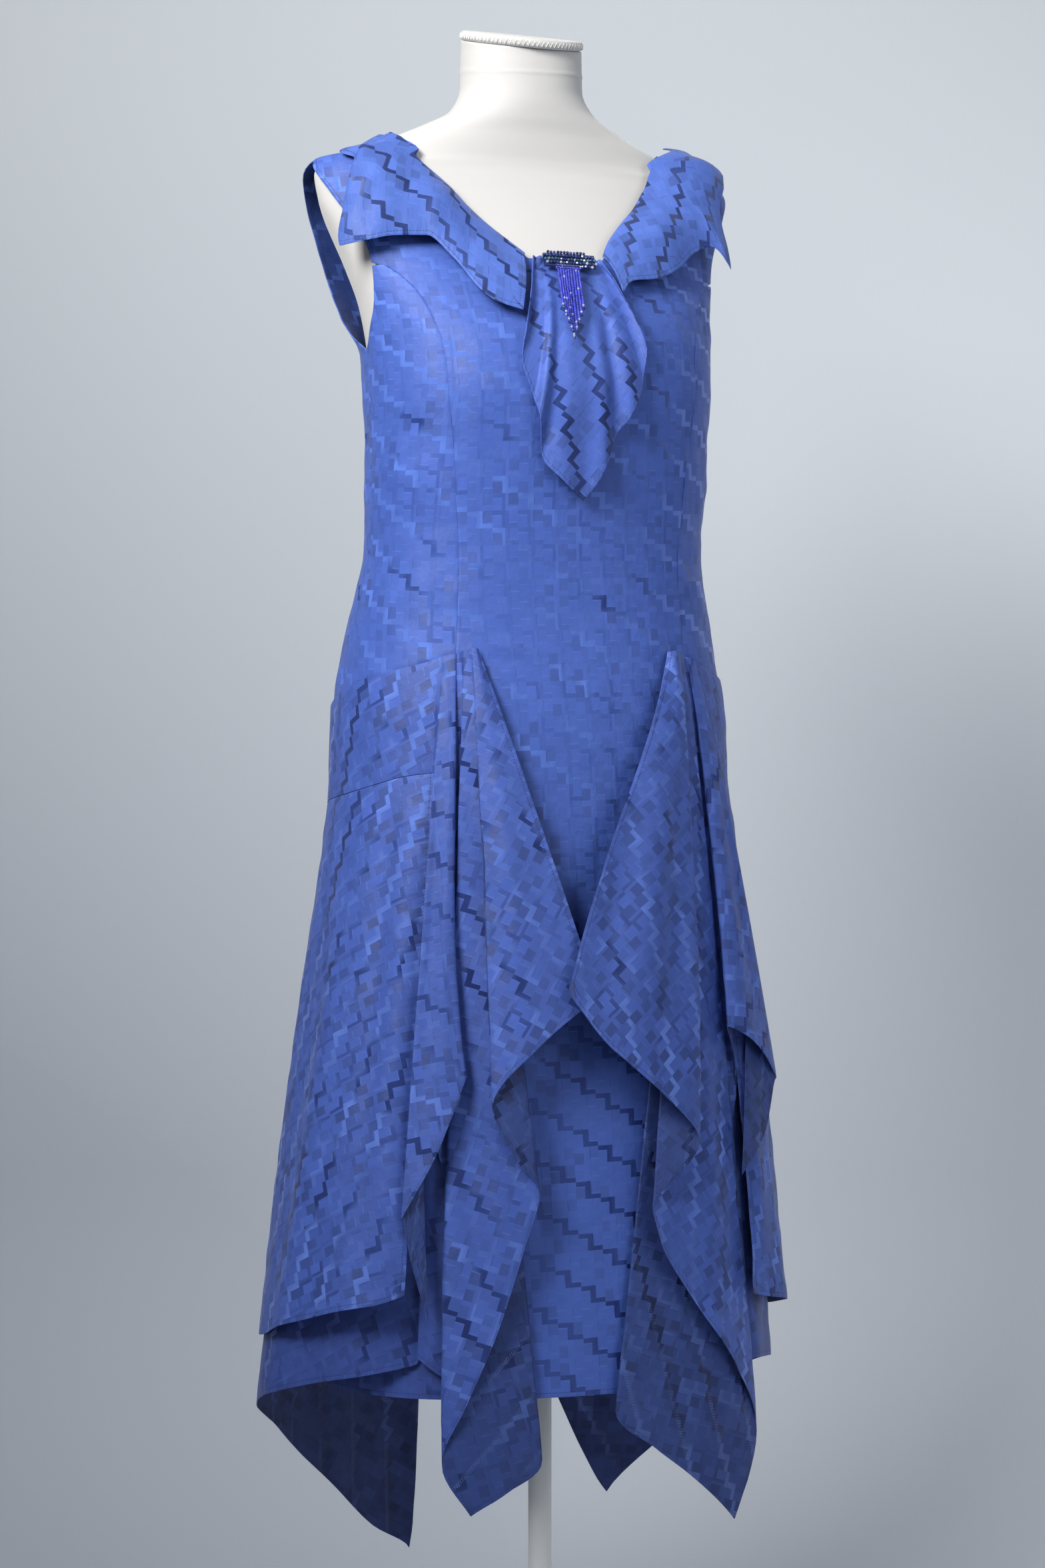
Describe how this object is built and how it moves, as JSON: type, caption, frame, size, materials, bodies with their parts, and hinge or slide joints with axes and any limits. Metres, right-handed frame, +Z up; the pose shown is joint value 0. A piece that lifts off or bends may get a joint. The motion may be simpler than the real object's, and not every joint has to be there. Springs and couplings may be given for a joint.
{
  "type": "flapper dress on limbless dress form",
  "caption": "Sleeveless drop-waist satin dress with collar flaps, jabot, folded front drapes and pointed back tiers, worn by a limbless form on a pole stand.",
  "frame": {"origin": "centre of the base plate's underside, on the pole's axis", "axes": "+Z up; the dress's front faces -Y, so the wearer's right side is at -X"},
  "size_m": [0.5088, 0.3877, 1.6554],
  "materials": {
    "satin_panel": "satin jacquard, straight grain",
    "satin_drape": "satin jacquard, circular cut",
    "satin_under": "satin jacquard",
    "satin_collar": "satin jacquard, bias cut",
    "form_cover": "matte stretch cover",
    "form_cap": "covered disc with a stitched rim",
    "glass_beads": "faceted beads, close set",
    "seed_beads": "small round beads on thread",
    "painted_tube": "satin white paint",
    "painted_plate": "satin white paint"
  },
  "bodies": {
    "root": {"front_centre": "satin_panel", "side_front_right": "satin_panel", "side_front_left": "satin_panel", "back_right": "satin_panel", "back_left": "satin_panel", "underskirt_side_right": "satin_under", "underskirt_side_left": "satin_under", "underskirt_back": "satin_under", "back_yoke_right": "satin_drape", "back_yoke_left": "satin_drape", "cascade_right": "satin_drape", "cascade_left": "satin_drape", "tier_right": "satin_drape", "tier_left": "satin_drape", "under_tier_right": "satin_under", "under_tier_left": "satin_under", "collar_right": "satin_collar", "collar_left": "satin_collar", "jabot": "satin_collar", "brooch_plaque": "glass_beads", "bead_fringe": "seed_beads", "form_torso": "form_cover", "form_neck_cap": "form_cap", "stand_pole": "painted_tube", "stand_base": "painted_plate"}
  },
  "joints": []
}
